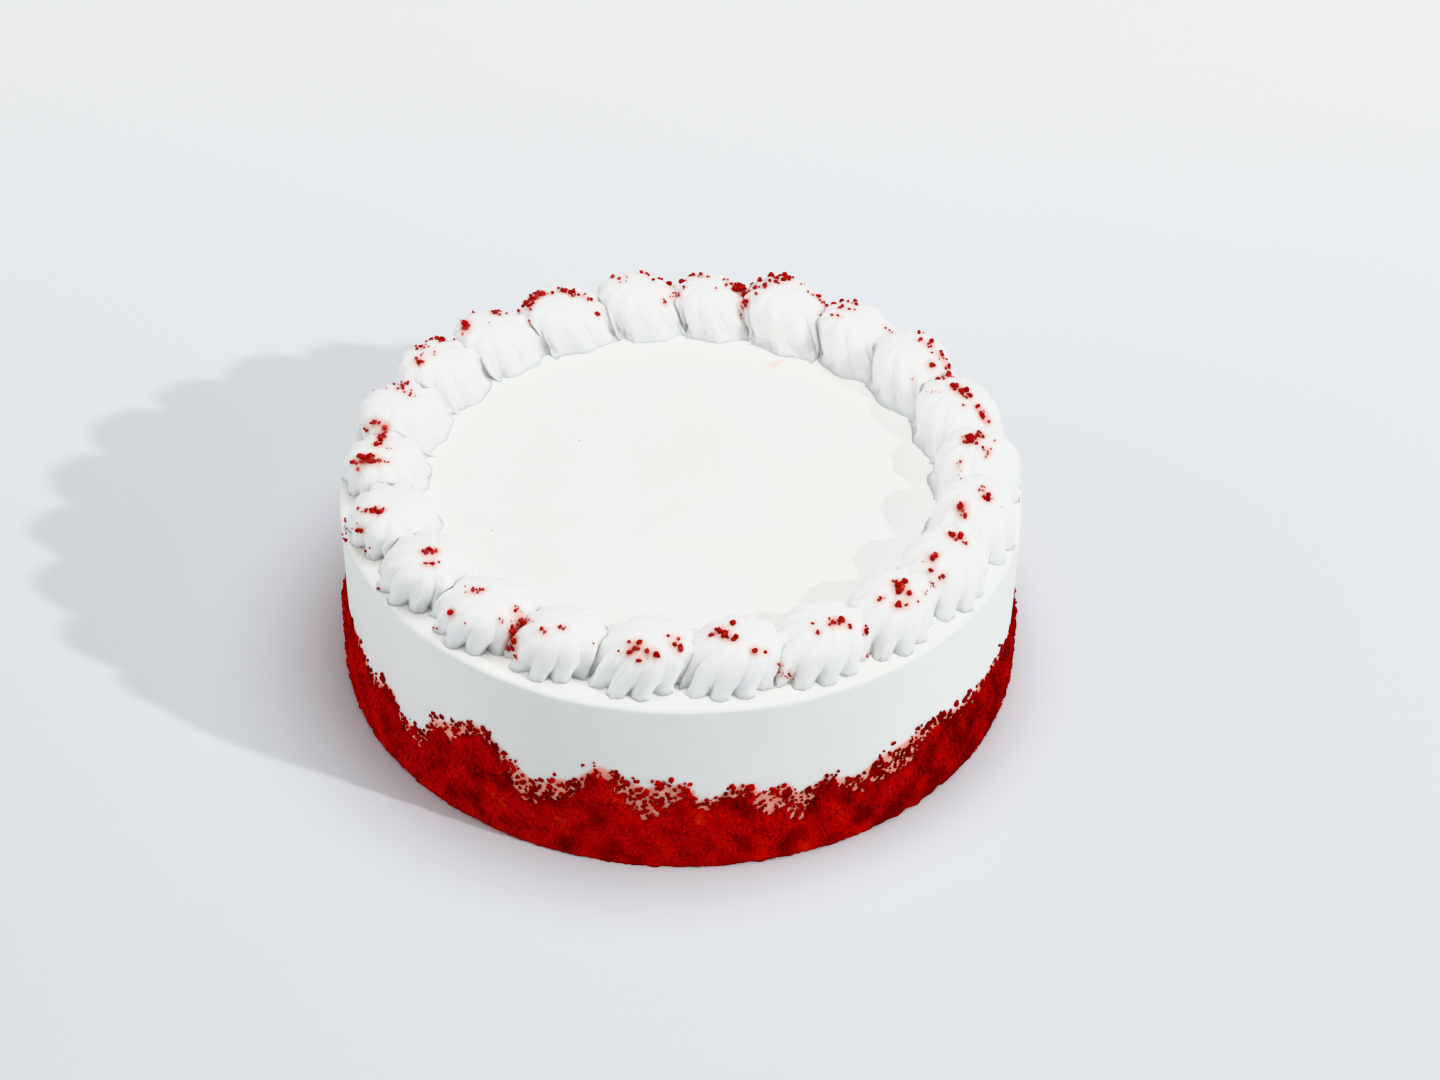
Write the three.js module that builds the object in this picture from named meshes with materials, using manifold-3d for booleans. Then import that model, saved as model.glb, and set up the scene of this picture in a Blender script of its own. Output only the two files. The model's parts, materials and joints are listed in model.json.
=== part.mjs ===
// Red velvet cake: a round cake under smooth white cream. Piped cream rosettes
// stand in a ring round the rim of its flat top. Red cake crumbs are pressed
// onto the lower part of its side and lie in clusters on the rosettes.
//
// Millimetres, Z up. The cake stands on Z = 0 with its centre on the Z axis.
// Azimuth 0 is the front (-Y) and azimuth 90 is the right-hand side (+X).

import * as THREE from 'three';
import { mergeVertices } from 'three/addons/utils/BufferGeometryUtils.js';
import Module from 'manifold-3d';

const wasm = await Module();
wasm.setup();

// ---- Driving sizes ----

const CREAM_RADIUS = 103.6;
const BODY_HEIGHT = 59.5;
const RIM_ROUNDING = 1.4;
const SIDE_STEPS = 90;

const CRUMB_COAT = 1.1;
const CRUMB_COAT_STEP = 0.7;
const SIDE_CRUMBS = 100;
const SIDE_CRUMB_SIZE = 2.9;
const TOP_CRUMB_SIZE = 2.1;

const ROSETTE_COUNT = 22;
const RING_RADIUS = 87.4;
const RING_WIDENING = 2.6;
const ROSETTE_REACH = 12.5;
const ROSETTE_HEIGHT = 15.1;
const ROSETTE_SEED = 106881;
const ROSETTE_LEAN = 0.4;
const UPRIGHT_HEIGHT = 6.5;
const FIRST_VALLEY = 2.9;
const FLUTES = 11;
const FLUTE_DEPTH = 0.12;
const RING_SPREAD = 0.16;
const SAMPLES_PER_FLUTE = 3;
const CLEARANCE = 0.3;

// Height of the crumb coat's upper edge, by azimuth from the back left round to the back.
const CRUMB_LINE = [
  [-180, 25], [-135, 23], [-95, 24], [-70, 26], [-61, 22], [-54, 26], [-51, 19], [-46, 20], [-42, 30],
  [-33, 36], [-22, 24], [-17, 28], [-11, 36], [-4, 30], [2, 31], [5, 24], [12, 30], [15, 26], [18, 28],
  [21, 23], [25, 26], [31, 23], [36, 27], [47, 28], [58, 24], [68, 25], [80, 22], [135, 24], [180, 25],
];

// Outline of a rosette from its foot to just under its tip: reach and rise as shares.
const ROSETTE_PROFILE = [[1.02, 0], [1, 0.14], [0.99, 0.42], [0.88, 0.72], [0.58, 0.93]];

// Crumbs on each rosette, anticlockwise: how many, and how far their cluster
// lies along the ring from the rosette's leaning middle, and outward.
const ROSETTE_CRUMBS = [
  [5, -4, 1], [4, -3, 5], [6, -2, 4], [4, 1, 2], [3, -4, 2], [5, -5, 0], [5, 0, 2], [4, -2, 3], [5, 3, 4],
  [2, -1, 4], [2, -1, 1], [2, 1, 1], [3, -7, -3], [3, 5, 3], [4, -1, 4], [2, -6, 3], [4, -1, 4], [1, 1, 6],
  [3, 1, 2], [2, -3, 2], [5, -7, 6], [6, -1, 6],
];

// Stray crumbs on the narrow ledge at the front, between the feet of the rosettes: azimuths.
const LEDGE_CRUMBS = [-47.5, -31, -15, 1, 18, 34];

// ---- Small helpers ----

function seededRandom(seed) {
  let state = seed;
  return () => {
    state = (state + 0x6d2b79f5) | 0;
    let t = Math.imul(state ^ (state >>> 15), 1 | state);
    t = (t + Math.imul(t ^ (t >>> 7), 61 | t)) ^ t;
    return ((t ^ (t >>> 14)) >>> 0) / 4294967296;
  };
}

function spread(random, amount) {
  return (random() * 2 - 1) * amount;
}

function polar(azimuth, radius, z) {
  const angle = THREE.MathUtils.degToRad(azimuth);
  return new THREE.Vector3(radius * Math.sin(angle), -radius * Math.cos(angle), z);
}

// A closed skin over level rows of points, anticlockwise seen from above, the lowest row first.
function skinOverRows(rows, bottom, top) {
  const count = rows[0].length;
  const points = [...rows.flat(), bottom, top];
  const bottomIndex = points.length - 2;
  const topIndex = points.length - 1;
  const lastRow = (rows.length - 1) * count;
  const index = [];
  for (let j = 0; j < count; j += 1) {
    const k = (j + 1) % count;
    for (let start = 0; start < lastRow; start += count) {
      index.push(start + j, start + k, start + count + k);
      index.push(start + j, start + count + k, start + count + j);
    }
    index.push(bottomIndex, k, j);
    index.push(topIndex, lastRow + j, lastRow + k);
  }
  const geometry = new THREE.BufferGeometry();
  geometry.setAttribute('position', new THREE.Float32BufferAttribute(points.flatMap((p) => p.toArray()), 3));
  geometry.setIndex(index);
  return geometry;
}

function solidOf(geometry) {
  const bare = geometry.clone();
  bare.deleteAttribute('normal');
  bare.deleteAttribute('uv');
  const merged = mergeVertices(bare, 1e-4);
  const vertProperties = new Float32Array(merged.attributes.position.array);
  const triVerts = new Uint32Array(merged.index.array);
  return new wasm.Manifold(new wasm.Mesh({ numProp: 3, vertProperties, triVerts }));
}

function meshOf(solid, name, material) {
  const { vertProperties, triVerts } = solid.getMesh();
  const geometry = new THREE.BufferGeometry();
  geometry.setAttribute('position', new THREE.Float32BufferAttribute(vertProperties, 3));
  geometry.setIndex(Array.from(triVerts));
  geometry.computeVertexNormals();
  const mesh = new THREE.Mesh(geometry, material);
  mesh.name = name;
  return mesh;
}

// ---- Crumbs ----

// A rough little lump, flatter one way, turned at random.
function crumbAt(position, size, random) {
  const geometry = new THREE.OctahedronGeometry(size / 2, 0);
  geometry.deleteAttribute('normal');
  geometry.deleteAttribute('uv');
  const lump = mergeVertices(geometry, 1e-4);
  const points = lump.attributes.position;
  const corner = new THREE.Vector3();
  for (let i = 0; i < points.count; i += 1) {
    corner.fromBufferAttribute(points, i).multiplyScalar(1.1 + spread(random, 0.2));
    corner.z *= 0.75;
    points.setXYZ(i, corner.x, corner.y, corner.z);
  }
  lump.rotateX(spread(random, Math.PI));
  lump.rotateY(spread(random, Math.PI));
  lump.translate(position.x, position.y, position.z);
  return solidOf(lump);
}

// Where a ray first meets the surface of a geometry.
function surfacePoint(geometry, origin, direction) {
  const target = new THREE.Mesh(geometry);
  const hits = new THREE.Raycaster(origin, direction).intersectObject(target);
  return hits.length > 0 ? hits[0].point : null;
}

// ---- Cake body with its crumb coat ----

function crumbLine(azimuth) {
  const next = CRUMB_LINE.findIndex(([edge]) => edge > azimuth);
  const [a, low] = CRUMB_LINE[next - 1];
  const [b, high] = CRUMB_LINE[next];
  return THREE.MathUtils.lerp(low, high, THREE.MathUtils.smoothstep(azimuth, a, b));
}

// The coat is lumpy and ends in an uneven edge. Above it the cream is smooth up to the rounded rim.
function bodyGeometry(random) {
  const step = 360 / SIDE_STEPS;
  const azimuths = Array.from({ length: SIDE_STEPS }, (_, j) => -180 + j * step);
  const edge = azimuths.map((azimuth) => crumbLine(azimuth) + spread(random, 2.2));
  const rows = [];
  for (const share of [0, 0.25, 0.5, 0.75, 1]) {
    const foot = 0.5 * (1 - share);
    rows.push(azimuths.map((azimuth, j) => {
      const radius = CREAM_RADIUS + CRUMB_COAT + foot + spread(random, 0.55);
      const shift = share * (edge[j] + spread(random, 1));
      return polar(azimuth + spread(random, 0.8), radius, shift);
    }));
  }
  rows.push(azimuths.map((azimuth, j) => polar(azimuth, CREAM_RADIUS, edge[j] + 1 + CRUMB_COAT_STEP)));
  for (const turn of [0, 45, 90]) {
    const angle = THREE.MathUtils.degToRad(turn);
    const radius = CREAM_RADIUS - RIM_ROUNDING * (1 - Math.cos(angle));
    const height = BODY_HEIGHT - RIM_ROUNDING * (1 - Math.sin(angle));
    rows.push(azimuths.map((azimuth) => polar(azimuth, radius, height)));
  }
  return skinOverRows(rows, new THREE.Vector3(0, 0, 0), new THREE.Vector3(0, 0, BODY_HEIGHT));
}

function buildBody(random) {
  const geometry = bodyGeometry(random);
  let solid = solidOf(geometry);
  for (let i = 0; i < SIDE_CRUMBS; i += 1) {
    const azimuth = -180 + ((i + random()) * 360) / SIDE_CRUMBS;
    const stray = i % 3 === 0 ? 2 + spread(random, 3) : spread(random, 3) - 2.5;
    const height = Math.max(3, crumbLine(azimuth) * (i % 7 === 1 ? 0.5 : 1) + stray);
    const outside = polar(azimuth, CREAM_RADIUS + 20, height);
    const point = surfacePoint(geometry, outside, polar(azimuth, -1, 0));
    const size = SIDE_CRUMB_SIZE * (1 + spread(random, 0.25));
    solid = solid.add(crumbAt(point, size, random));
  }
  for (const azimuth of LEDGE_CRUMBS) {
    const point = polar(azimuth, 100.2 + spread(random, 0.3), BODY_HEIGHT + 0.2);
    solid = solid.add(crumbAt(point, 1.6, random));
  }
  return solid;
}

// ---- Piped rosettes ----

// The ring of rosettes is a little wider from side to side than from front to back.
function ringRadius(azimuth) {
  return RING_RADIUS + RING_WIDENING * Math.sin(THREE.MathUtils.degToRad(azimuth)) ** 2;
}

// How far a rosette's middle has moved along the ring at this height above its foot.
function leanAt(height) {
  return ROSETTE_LEAN * (height - UPRIGHT_HEIGHT);
}

// One rosette in its own frame: X points outward and Y runs anticlockwise along
// the ring. Flutes run up from the foot, where they are deepest, to a rounded tip.
// The rosette spreads along the ring until its sides are pressed flat where its
// neighbours stand, and all of it leans along Y, as its neighbours do.
function rosetteGeometry(ring, halfAngle, reach, height, turn) {
  const count = FLUTES * SAMPLES_PER_FLUTE;
  const slope = Math.tan(halfAngle);
  const rows = ROSETTE_PROFILE.map(([share, rise]) => {
    const depth = FLUTE_DEPTH * (0.8 + (1 - rise) ** 3);
    const spreading = 1 + RING_SPREAD * (1 - rise ** 3);
    const z = height * rise;
    return Array.from({ length: count }, (_, j) => {
      const angle = ((j + turn) / count) * Math.PI * 2;
      const hollow = 1 - Math.sqrt(Math.sin((Math.PI * (j % SAMPLES_PER_FLUTE)) / SAMPLES_PER_FLUTE));
      const radius = reach * share * (1 - depth * hollow);
      const x = radius * Math.cos(angle);
      const limit = (ring + x) * slope - CLEARANCE * 0.62;
      const y = THREE.MathUtils.clamp(radius * spreading * Math.sin(angle), -limit, limit);
      return new THREE.Vector3(x, y + leanAt(z), z);
    });
  });
  const foot = new THREE.Vector3(0, leanAt(0), 0);
  return skinOverRows(rows, foot, new THREE.Vector3(0, leanAt(height), height));
}

function buildRosette(index, valleys, random) {
  const from = valleys[index];
  const to = valleys[index + 1];
  const azimuth = (from + to) / 2;
  const halfAngle = THREE.MathUtils.degToRad((to - from) / 2);
  const ring = ringRadius(azimuth);
  const growth = halfAngle / (Math.PI / ROSETTE_COUNT);
  const reach = (ROSETTE_REACH * growth * ring) / RING_RADIUS;
  const height = ROSETTE_HEIGHT * (1 + spread(random, 0.11)) * Math.min(growth, 1);
  const geometry = rosetteGeometry(ring, halfAngle, reach, height, random() * SAMPLES_PER_FLUTE);
  let solid = solidOf(geometry);
  const [crumbs, along, outward] = ROSETTE_CRUMBS[index];
  for (let i = 0; i < crumbs; i += 1) {
    const size = TOP_CRUMB_SIZE * (1 + spread(random, 0.25));
    const x = THREE.MathUtils.clamp(outward + spread(random, 3), -8, 8.5);
    const limit = (ring + x) * Math.tan(halfAngle) - CLEARANCE - size * 0.65;
    const y = THREE.MathUtils.clamp(along + spread(random, 3.5), -limit, limit);
    const above = new THREE.Vector3(x, y + leanAt(30), 30);
    const point = surfacePoint(geometry, above, new THREE.Vector3(0, -ROSETTE_LEAN, -1).normalize());
    if (point !== null && point.z > size) {
      solid = solid.add(crumbAt(point, size, random));
    }
  }
  const seat = polar(azimuth, ring, BODY_HEIGHT + CLEARANCE);
  return solid.rotate([0, 0, azimuth - 90]).translate(seat.toArray());
}

// ---- Assembly ----

const cake = new THREE.Group();
cake.name = 'red_velvet_cake';

const bodyCream = new THREE.MeshStandardMaterial({ color: 0xe9ebe8, roughness: 0.55, metalness: 0 });
cake.add(meshOf(buildBody(seededRandom(11)), 'cake', bodyCream));

const ringRandom = seededRandom(23);
const pitch = 360 / ROSETTE_COUNT;
const valleys = Array.from({ length: ROSETTE_COUNT }, (_, i) => {
  return FIRST_VALLEY + i * pitch + spread(ringRandom, 0.5);
});
valleys.push(valleys[0] + 360);

for (let i = 0; i < ROSETTE_COUNT; i += 1) {
  const name = `rosette_${String(i + 1).padStart(2, '0')}`;
  const pipedCream = new THREE.MeshStandardMaterial({ color: 0xf1f3f2, roughness: 0.5, metalness: 0 });
  cake.add(meshOf(buildRosette(i, valleys, seededRandom(ROSETTE_SEED + i)), name, pipedCream));
}

export default cake;
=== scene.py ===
# %% [markdown]
# # A red velvet cake under white cream
#
# The real cake is made in steps: sponge and cream are stacked, the outside is
# smoothed with a palette knife, a ring of rosettes is piped round the rim, and
# fine red crumbs are pressed onto the lower side and dusted over the rosettes.
# This lesson dresses the cake's solids in that order. First come the imports
# and the frame, which gives the solids in metres.

import json
import math

import bpy
import numpy as np
from mathutils import Matrix, Vector
from mathutils.bvhtree import BVHTree
from mathutils.kdtree import KDTree

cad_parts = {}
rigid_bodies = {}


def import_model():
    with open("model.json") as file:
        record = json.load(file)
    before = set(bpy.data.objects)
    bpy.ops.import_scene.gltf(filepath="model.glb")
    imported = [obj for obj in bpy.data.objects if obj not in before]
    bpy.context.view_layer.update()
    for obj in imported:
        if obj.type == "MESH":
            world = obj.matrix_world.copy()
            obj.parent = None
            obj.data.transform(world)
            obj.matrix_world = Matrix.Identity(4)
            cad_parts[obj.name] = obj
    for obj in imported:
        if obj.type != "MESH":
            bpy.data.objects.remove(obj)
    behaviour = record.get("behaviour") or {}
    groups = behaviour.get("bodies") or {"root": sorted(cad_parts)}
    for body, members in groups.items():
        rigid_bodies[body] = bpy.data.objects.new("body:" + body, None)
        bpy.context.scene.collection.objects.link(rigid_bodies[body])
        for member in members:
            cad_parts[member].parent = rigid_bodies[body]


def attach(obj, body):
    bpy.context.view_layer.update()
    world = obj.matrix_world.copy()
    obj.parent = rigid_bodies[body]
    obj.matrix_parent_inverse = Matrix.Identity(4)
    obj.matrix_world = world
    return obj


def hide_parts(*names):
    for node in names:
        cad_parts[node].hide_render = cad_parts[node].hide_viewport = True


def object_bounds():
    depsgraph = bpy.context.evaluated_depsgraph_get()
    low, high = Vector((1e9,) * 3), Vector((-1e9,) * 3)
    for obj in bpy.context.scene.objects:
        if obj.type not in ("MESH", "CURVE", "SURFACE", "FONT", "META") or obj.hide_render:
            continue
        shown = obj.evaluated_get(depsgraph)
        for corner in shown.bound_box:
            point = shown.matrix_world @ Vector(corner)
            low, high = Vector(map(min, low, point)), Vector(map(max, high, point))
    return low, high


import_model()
CAD_LOW, CAD_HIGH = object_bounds()
MM = 0.001
print("solids span", [round(size / MM, 1) for size in CAD_HIGH - CAD_LOW], "mm")

# %% [markdown]
# ## Sizes
#
# Every visible piece stands where its solid stands, so the sizes of the solids
# are repeated here in millimetres. Azimuth 0 is the front of the cake and 90 is
# its right-hand side. The crumb line is the height that the crumbs reach up the
# side. It wanders, because crumbs are pressed on by the handful.

# %% Name the sizes
CREAM_RADIUS = 103.6
BODY_HEIGHT = 59.5
RIM_ROUNDING = 1.4
CRUMB_COAT = 1.1

ROSETTE_COUNT = 22
RING_RADIUS = 87.4
RING_WIDENING = 2.6
ROSETTE_REACH = 12.5
ROSETTE_HEIGHT = 15.1
ROSETTE_SEED = 106881
ROSETTE_LEAN = 0.4
UPRIGHT_HEIGHT = 6.5
FIRST_VALLEY = 2.9
FLUTES = 11
FLUTE_DEPTH = 0.12
RING_SPREAD = 0.16
CLEARANCE = 0.3
ROSETTE_PROFILE = [(1.02, 0), (1, 0.14), (0.99, 0.42), (0.88, 0.72), (0.58, 0.93), (0, 1)]

CRUMB_LINE = [
    (-180, 25), (-135, 23), (-95, 24), (-70, 26), (-61, 22), (-54, 26), (-51, 19), (-46, 20),
    (-42, 30), (-33, 36), (-22, 24), (-17, 28), (-11, 36), (-4, 30), (2, 31), (5, 24), (12, 30),
    (15, 26), (18, 28), (21, 23), (25, 26), (31, 23), (36, 27), (47, 28), (58, 24), (68, 25),
    (80, 22), (135, 24), (180, 25),
]  # fmt: skip


def crumb_line(azimuths):
    """The height of the crumbs at each azimuth, eased from one named height to the next."""
    edges = np.array([edge for edge, _ in CRUMB_LINE], float)
    heights = np.array([height for _, height in CRUMB_LINE], float)
    wrapped = (np.asarray(azimuths) + 180) % 360 - 180
    after = np.clip(np.searchsorted(edges, wrapped, side="right"), 1, len(edges) - 1)
    share = (wrapped - edges[after - 1]) / (edges[after] - edges[after - 1])
    share = share * share * (3 - 2 * share)
    return heights[after - 1] + share * (heights[after] - heights[after - 1])


print("crumbs reach", crumb_line([-90, -32, 0, 90]).round(1), "mm at left, front left, front, right")

# %% [markdown]
# ## Helpers for shapes
#
# Nothing on a hand-made cake is exact, so most shapes take a gentle ripple. A
# ripple could come from a texture, but here it is a sum of a few sine waves with
# drawn directions: it is quick for thousands of points, it joins up round the
# cake, and one seed always gives the same waves.


# %% Ripples, points round the cake, and meshes from arrays
def ripple(seed, waves, shortest, longest):
    """A smooth uneven field over the cake's side, in millimetres, about -1 to 1."""
    draw = np.random.default_rng(seed)
    lengths = np.exp(draw.uniform(math.log(shortest), math.log(longest), waves))
    headings = draw.uniform(0, math.pi, waves)
    turns = np.round(2 * math.pi * CREAM_RADIUS / lengths * np.cos(headings))
    climbs = 2 * math.pi / lengths * np.sin(headings)
    phases = draw.uniform(0, 2 * math.pi, waves)

    def field(azimuths, heights):
        angles = np.radians(azimuths)[..., None] * turns
        angles = angles + np.asarray(heights)[..., None] * climbs + phases
        return np.sin(angles).sum(-1) / math.sqrt(waves / 2) / 1.6

    return field


def around(azimuths, radii, heights):
    """Points in metres from azimuths in degrees, and radii and heights in millimetres."""
    angles = np.radians(azimuths)
    points = np.stack(np.broadcast_arrays(radii * np.sin(angles), -radii * np.cos(angles), heights), -1)
    return points * MM


def grid_faces(rows, columns, close_rows=False):
    """Quads over a grid of points that closes on itself sideways, and upward if asked."""
    last = rows if close_rows else rows - 1
    r, c = np.meshgrid(np.arange(last), np.arange(columns), indexing="ij")
    r_next, c_next = (r + 1) % rows, (c + 1) % columns
    corners = (r * columns + c, r * columns + c_next, r_next * columns + c_next, r_next * columns + c)
    return np.stack(corners, -1).reshape(-1, 4)


def mesh_piece(name, points, faces, material):
    """A smooth mesh object that rides with the cake and wears one material."""
    mesh = bpy.data.meshes.new(name)
    mesh.from_pydata(points.reshape(-1, 3).tolist(), [], [list(face) for face in faces])
    mesh.polygons.foreach_set("use_smooth", [True] * len(mesh.polygons))
    mesh.materials.append(material)
    mesh.update()
    piece = bpy.data.objects.new(name, mesh)
    bpy.context.scene.collection.objects.link(piece)
    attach(piece, "root")
    return piece


def give_values(piece, name, values):
    """Stores one number for each point, for the material to read."""
    layer = piece.data.attributes.new(name, "FLOAT", "POINT")
    layer.data.foreach_set("value", np.asarray(values, np.float32).ravel())


print("a ripple of 30 to 80 mm:", ripple(1, 12, 30, 80)(np.array([0, 90, 180]), np.zeros(3)).round(2))

# %% [markdown]
# ## Shader sums as Python
#
# Materials here are sums of noises and masks. Wiring Math nodes by hand hides
# the sum, so a small class wraps a socket: `1 - mask * 0.5` adds the nodes. Any
# other node is made by its one method, which sets the node's settings first and
# then fills or links its sockets.


# %% The signal class
class Signal:
    """A socket of a material that can be used in sums."""

    def __init__(self, tree, socket=None):
        self.tree = tree
        self.socket = socket

    def node(self, kind, settings=None, sockets=None, output=0):
        """Adds a node: its settings first, then values or links for its sockets."""
        made = self.tree.nodes.new(kind)
        for name, value in (settings or {}).items():
            if name == "stops":
                ramp = made.color_ramp.elements
                while len(ramp) < len(value):
                    ramp.new(0.5)
                for stop, (place, colour) in zip(ramp, value):
                    stop.position = place
                    stop.color = (*colour, 1)
            else:
                setattr(made, name, value)
        for name, value in (sockets or {}).items():
            if isinstance(value, Signal):
                self.tree.links.new(value.socket, made.inputs[name])
            else:
                made.inputs[name].default_value = value
        return Signal(self.tree, made.outputs[output])

    def maths(self, operation, first, second):
        return self.node("ShaderNodeMath", {"operation": operation}, {0: first, 1: second})

    def __add__(self, other):
        return self.maths("ADD", self, other)

    def __radd__(self, other):
        return self.maths("ADD", other, self)

    def __sub__(self, other):
        return self.maths("SUBTRACT", self, other)

    def __rsub__(self, other):
        return self.maths("SUBTRACT", other, self)

    def __mul__(self, other):
        return self.maths("MULTIPLY", self, other)

    def __rmul__(self, other):
        return self.maths("MULTIPLY", other, self)

    def between(self, low, high):
        """0 below low, 1 above high and smooth between."""
        settings = {"interpolation_type": "SMOOTHSTEP"}
        return self.node("ShaderNodeMapRange", settings, {"Value": self, "From Min": low, "From Max": high})

    def blend(self, colour_a, colour_b):
        """colour_a where this is 0 and colour_b where it is 1."""
        sockets = {"Factor": self, 6: colour_a, 7: colour_b}
        return self.node("ShaderNodeMix", {"data_type": "RGBA"}, sockets, output=2)

    def noise(self, places, size, detail=2.0, roughness=0.5):
        """Noise with lumps of about this size in millimetres, 0 to 1."""
        sockets = {"Vector": places, "Scale": 1 / (size * MM), "Detail": detail, "Roughness": roughness}
        return self.node("ShaderNodeTexNoise", None, sockets)

    def value_of(self, name):
        """The number stored on the mesh under this name."""
        return self.node("ShaderNodeAttribute", {"attribute_name": name}, output="Fac")


def start_material(name):
    """A new material: its start signal, its Principled shader, and the object's own coordinates."""
    material = bpy.data.materials.new(name)
    material.use_nodes = True
    shader = material.node_tree.nodes["Principled BSDF"]
    start = Signal(material.node_tree)
    places = start.node("ShaderNodeTexCoord", output="Object")
    return material, shader, start, places


def feed(shader, start, name, signal):
    """Links a signal to one of the shader's sockets."""
    start.tree.links.new(signal.socket, shader.inputs[name])


def rgb(red, green, blue):
    """A colour as a viewer names it, 0 to 255, turned into the linear values that shaders use."""
    shares = np.array([red, green, blue]) / 255
    linear = np.where(shares <= 0.04045, shares / 12.92, ((shares + 0.055) / 1.055) ** 2.4)
    return (*linear.tolist(), 1.0)


print("signals ready; a mid grey is", round(rgb(128, 128, 128)[0], 3), "in linear light")

# %% [markdown]
# ## The cream
#
# Whipped cream is white, a little soft to the light, and satin rather than
# glossy. Light enters it and comes back out a few millimetres away, so it takes
# some subsurface scattering. Its surface has three scales: faint marks of the
# palette knife that run round the cake, soft unevenness, and tiny air bubbles.
# A stain, stored as a number on the mesh, turns it pink near crumbs. The same
# recipe serves the smooth body and the rosettes, with other strengths: the
# rosettes scatter far more light, which keeps the creases between them pale.


# %% The cream's recipe
STAINED = rgb(253, 152, 126)


def cream_material(name, light, shade, knife_marks, bubbles, softness, depth):
    """Cream: two near whites, how strong its marks are, and how far light goes into it in mm."""
    material, shader, start, places = start_material(name)
    broad = start.noise(places, 35, detail=3)
    fine = start.noise(places, 1.6, detail=4, roughness=0.65)
    colour = broad.between(0.35, 0.65).blend(shade, light)
    stain = start.value_of("stain")
    patchy = 0.7 + 0.3 * start.noise(places, 2.6, detail=3).between(0.3, 0.7)
    colour = (stain * patchy).blend(colour, STAINED)
    feed(shader, start, "Base Color", colour)
    feed(shader, start, "Roughness", 0.46 + 0.14 * fine)
    shader.inputs["Specular IOR Level"].default_value = 0.35
    shader.inputs["Subsurface Weight"].default_value = softness
    shader.inputs["Subsurface Radius"].default_value = (1.0, 0.95, 0.9)
    shader.inputs["Subsurface Scale"].default_value = depth * MM
    stretched = start.node("ShaderNodeMapping", None, {"Vector": places, "Scale": (1, 1, 9)})
    marks = start.noise(stretched, 26, detail=4)
    height = marks * knife_marks + fine * bubbles
    sockets = {"Height": height, "Distance": MM, "Strength": 0.5}
    feed(shader, start, "Normal", start.node("ShaderNodeBump", None, sockets))
    return material


smooth_cream = cream_material("smooth_cream", rgb(246, 248, 245), rgb(243, 245, 241), 0.5, 0.08, 0.15, 2)
piped_cream = cream_material("piped_cream", rgb(250, 251, 249), rgb(248, 249, 247), 0.1, 0.12, 0.9, 4)
print("made", smooth_cream.name, "and", piped_cream.name)

# %% [markdown]
# ## The smooth body
#
# A lathed profile would give a perfect drum. A palette knife leaves the side a
# few tenths of a millimetre uneven and the rim a little wavy, so the profile is
# turned as a grid of points and rippled.

# %% Turn the body
BODY_COLUMNS = 540
SIDE_ROWS = 64
TOP_ROWS = 48
FOOT_ROUNDING = 0.6
SIDE_UNEVENNESS = 0.22
RIM_UNEVENNESS = 0.14
side_ripple = ripple(3, 14, 40, 160)
rim_ripple = ripple(4, 10, 12, 60)


def body_profile():
    """Radius and height of each row, from the underside up the side and over the top."""
    rows = [(radius, 0.0) for radius in (40, 80, 101)]
    rows += [(CREAM_RADIUS - FOOT_ROUNDING, 0.0), (CREAM_RADIUS, FOOT_ROUNDING)]
    rows += [(CREAM_RADIUS, height) for height in np.linspace(2, BODY_HEIGHT - RIM_ROUNDING, SIDE_ROWS)]
    for turn in np.radians(np.linspace(10, 90, 9)):
        drop = RIM_ROUNDING * (1 - np.sin(turn))
        rows.append((CREAM_RADIUS - RIM_ROUNDING * (1 - np.cos(turn)), BODY_HEIGHT - drop))
    rows += [(radius, BODY_HEIGHT) for radius in np.linspace(99, 3, TOP_ROWS)]
    return np.array(rows)


def body_points():
    """The profile turned round the cake, rippled a little more towards the rim."""
    profile = body_profile()
    azimuths = np.arange(BODY_COLUMNS) * 360 / BODY_COLUMNS
    radii, heights = profile[:, :1], profile[:, 1:]
    outer = np.clip((radii - 96) / 5, 0, 1)
    risen = np.clip(heights / BODY_HEIGHT, 0, 1)
    swell = side_ripple(azimuths, heights + 0 * azimuths) * SIDE_UNEVENNESS * outer * risen
    near_rim = np.clip((radii - 60) / 35, 0, 1) * risen**8
    wave = rim_ripple(azimuths, radii + 0 * azimuths) * RIM_UNEVENNESS * near_rim - 0.1 * risen**8
    return around(azimuths, radii + swell - 0.15 * outer, heights + wave)


points = body_points()
faces = [list(face) for face in grid_faces(len(points), BODY_COLUMNS)]
count = points.shape[0] * points.shape[1]
faces += [[(j + 1) % BODY_COLUMNS, j, count] for j in range(BODY_COLUMNS)]
top_row = count - BODY_COLUMNS
faces += [[top_row + j, top_row + (j + 1) % BODY_COLUMNS, count + 1] for j in range(BODY_COLUMNS)]
centres = np.array([[0, 0, 0], [0, 0, points[-1, :, 2].mean()]])
body_points_all = np.concatenate([points.reshape(-1, 3), centres])
cream_body = mesh_piece("cream_body", body_points_all, faces, smooth_cream)
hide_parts("cake")
print("cream body:", len(cream_body.data.polygons), "faces")

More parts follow.
